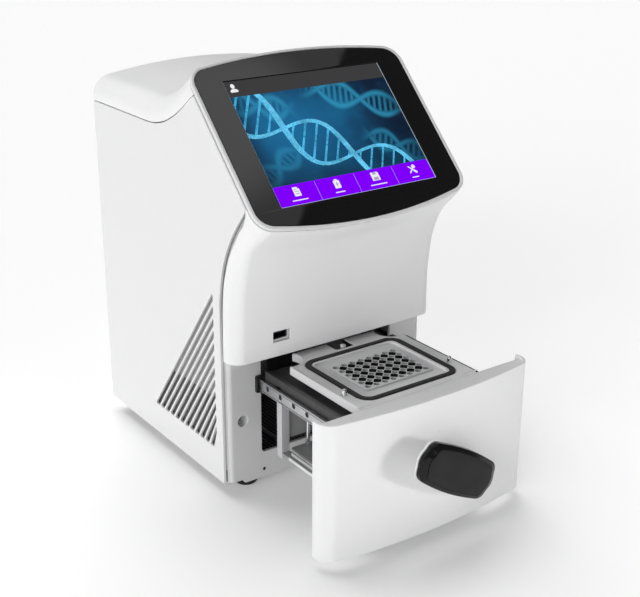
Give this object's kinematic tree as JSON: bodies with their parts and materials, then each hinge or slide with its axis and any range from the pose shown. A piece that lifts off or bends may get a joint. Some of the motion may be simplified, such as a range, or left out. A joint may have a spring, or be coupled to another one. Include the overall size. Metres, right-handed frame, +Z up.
{
  "type": "thermal cycler",
  "caption": "Bench-top thermal cycler with a tilted touch display, a sliding sample drawer with a well block, a turning drawer handle and a motor-driven hot lid.",
  "frame": {"origin": "middle of the footprint at floor level, with the drawer open as modelled", "axes": "+X to the right seen from the front, +Y to the rear, +Z up; the drawer and the display face -Y"},
  "size_m": [0.2212, 0.4102, 0.3823],
  "materials": {
    "white_shell": "satin moulded white",
    "grey_trim": "light grey satin",
    "black_plastic": "black satin",
    "touch_glass": "black back-printed glass",
    "display": "lit colour display",
    "rubber": "matt",
    "coated_sheet": "powder coated",
    "bare_steel": "brushed",
    "chrome": "polished",
    "aluminium": "bead blasted and anodised",
    "circuit_board": "solder mask",
    "ceramic": "matt"
  },
  "bodies": {
    "chassis": {"base_plate": "coated_sheet", "foot_fl": "rubber", "foot_fr": "rubber", "foot_rl": "rubber", "foot_rr": "rubber", "side_panel_l": "white_shell", "side_panel_r": "white_shell", "trim_channel_l": "grey_trim", "trim_channel_r": "grey_trim", "top_cover": "white_shell", "front_hood": "white_shell", "usb_port": "bare_steel", "front_frame": "grey_trim", "rear_panel": "coated_sheet", "power_inlet": "black_plastic", "exhaust_fan_frame": "black_plastic", "head_bezel": "grey_trim", "touch_glass": "touch_glass", "display_module": "display", "display_bracket": "bare_steel", "inner_chassis": "coated_sheet", "slide_fixed_l": "bare_steel", "slide_fixed_r": "bare_steel", "lid_guide_rod_l": "chrome", "lid_guide_rod_r": "chrome", "lid_motor": "black_plastic", "latch_keeper": "bare_steel", "power_supply": "coated_sheet", "main_board": "circuit_board"},
    "exhaust_fan": {"exhaust_fan_rotor": "black_plastic"},
    "power_switch": {"power_switch_rocker": "black_plastic"},
    "slide_middle": {"slide_mid_l": "aluminium", "slide_mid_r": "aluminium"},
    "hot_lid": {"lid_carriage": "aluminium", "lid_heater_plate": "aluminium"},
    "lid_drive": {"lid_screw": "bare_steel"},
    "drawer": {"drawer_front": "white_shell", "drawer_rail_l": "aluminium", "drawer_rail_r": "aluminium", "drawer_side_frame_l": "aluminium", "drawer_side_frame_r": "aluminium", "tie_rod_l": "chrome", "tie_rod_r": "chrome", "drawer_floor": "coated_sheet", "drawer_bulkhead": "coated_sheet", "drawer_deck": "black_plastic", "tray": "white_shell", "gasket": "rubber", "block_frame": "white_shell", "well_block": "aluminium", "peltier": "ceramic", "heat_sink": "aluminium", "sink_fan_frame": "black_plastic", "guide_pin_l": "chrome", "guide_pin_r": "chrome", "tray_clip": "bare_steel"},
    "sink_fan": {"sink_fan_rotor": "black_plastic"},
    "handle": {"handle_pad": "black_plastic", "handle_body": "grey_trim", "latch_arm": "bare_steel"}
  },
  "joints": [
    {"name": "drawer_slide", "type": "slide", "parent": "chassis", "child": "drawer", "axis": [0, 1, 0], "range_m": [0, 0.132]},
    {"name": "slide_middle_travel", "type": "slide", "parent": "chassis", "child": "slide_middle", "axis": [0, 1, 0], "range_m": [0, 0.066]},
    {"name": "handle_turn", "type": "hinge", "parent": "drawer", "child": "handle", "pos_m": [0, -0.2011, 0.0745], "axis": [0, -1, 0], "range_deg": [-14.1, 30.9]},
    {"name": "lid_press", "type": "slide", "parent": "chassis", "child": "hot_lid", "axis": [0, 0, -1], "range_m": [0, 0.012]},
    {"name": "lid_screw_turn", "type": "hinge", "parent": "chassis", "child": "lid_drive", "pos_m": [0, 0.0336, 0.17], "axis": [0, 0, 1], "range_deg": [-5, 185]},
    {"name": "exhaust_fan_spin", "type": "hinge", "parent": "chassis", "child": "exhaust_fan", "pos_m": [0.028, 0.1839, 0.112], "axis": [0, 1, 0], "continuous": true},
    {"name": "sink_fan_spin", "type": "hinge", "parent": "drawer", "child": "sink_fan", "pos_m": [0, -0.0401, 0.085], "axis": [0, 1, 0], "continuous": true},
    {"name": "power_switch_rock", "type": "hinge", "parent": "chassis", "child": "power_switch", "pos_m": [-0.03, 0.1974, 0.052], "axis": [1, 0, 0], "range_deg": [0, 14]}
  ],
  "couplings": [
    {"joint": "slide_middle_travel", "follows": "drawer_slide", "ratio": 0.5},
    {"joint": "lid_screw_turn", "follows": "lid_press", "rad_per_m": 261.8}
  ]
}
